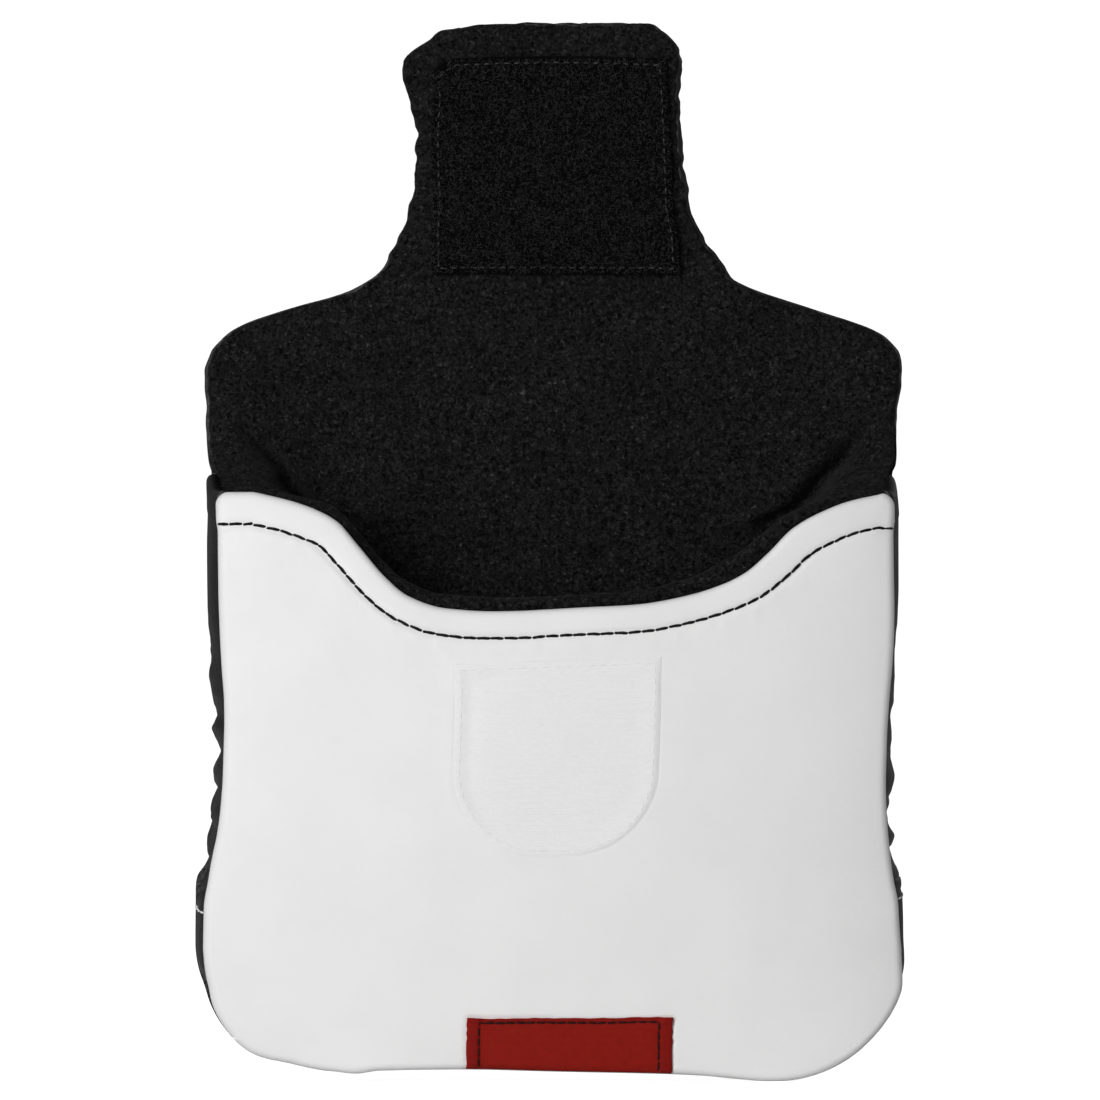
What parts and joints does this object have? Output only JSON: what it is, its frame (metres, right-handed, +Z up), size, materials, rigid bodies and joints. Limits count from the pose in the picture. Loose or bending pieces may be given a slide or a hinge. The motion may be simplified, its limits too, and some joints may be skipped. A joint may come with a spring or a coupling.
{
  "type": "putter head cover",
  "caption": "Padded pouch for a mallet putter head, with a scooped front mouth and an open two-fold flap that closes by hook and loop tape.",
  "frame": {"origin": "centre of the cover's footprint, on the surface it stands on", "axes": "+Z up along the open flap, -Y out of the white front panel, +X to the right seen from the front"},
  "size_m": [0.1344, 0.0387, 0.201],
  "materials": {
    "white_leather": "smooth white synthetic leather, fine grain, semi-matt",
    "black_leather": "black synthetic leather, fine grain, satin",
    "black_fleece": "short-pile black fleece",
    "foam_padding": "soft foam sheet, hidden between shell and lining",
    "white_hook_tape": "white hook tape with fine cross ribs",
    "black_loop_tape": "black fuzzy loop tape",
    "red_woven_label": "plain red woven label, no marking",
    "elastic_band": "flat braided elastic, hidden",
    "black_thread": "twisted sewing thread",
    "white_thread": "twisted sewing thread",
    "dark_red_thread": "twisted sewing thread"
  },
  "bodies": {
    "pouch": {"front_shell": "white_leather", "front_foam": "foam_padding", "front_lining": "black_fleece", "hook_patch": "white_hook_tape", "woven_label": "red_woven_label", "back_shell": "black_leather", "back_foam": "foam_padding", "back_lining": "black_fleece", "gusset_left": "black_leather", "gusset_right": "black_leather", "gusset_elastic_left": "elastic_band", "gusset_elastic_right": "elastic_band", "gusset_lining_left": "black_fleece", "gusset_lining_right": "black_fleece", "bottom_gusset": "black_leather", "bottom_lining": "black_fleece", "mouth_stitching": "black_thread", "hook_patch_stitching": "white_thread", "label_stitching": "dark_red_thread", "gusset_joint_stitching": "white_thread"},
    "flap_shoulder": {"shoulder_shell": "black_leather", "shoulder_foam": "foam_padding", "shoulder_lining": "black_fleece"},
    "flap_tab": {"tab_shell": "black_leather", "tab_foam": "foam_padding", "tab_lining": "black_fleece", "loop_patch": "black_loop_tape", "loop_patch_stitching": "black_thread"}
  },
  "joints": [
    {"name": "back_fold", "type": "hinge", "parent": "pouch", "child": "flap_shoulder", "pos_m": [0, 0.0137, 0.115], "axis": [1, 0, 0], "range_deg": [0, 90]},
    {"name": "front_fold", "type": "hinge", "parent": "flap_shoulder", "child": "flap_tab", "pos_m": [0, 0.0137, 0.1496], "axis": [1, 0, 0], "range_deg": [0, 90]}
  ]
}
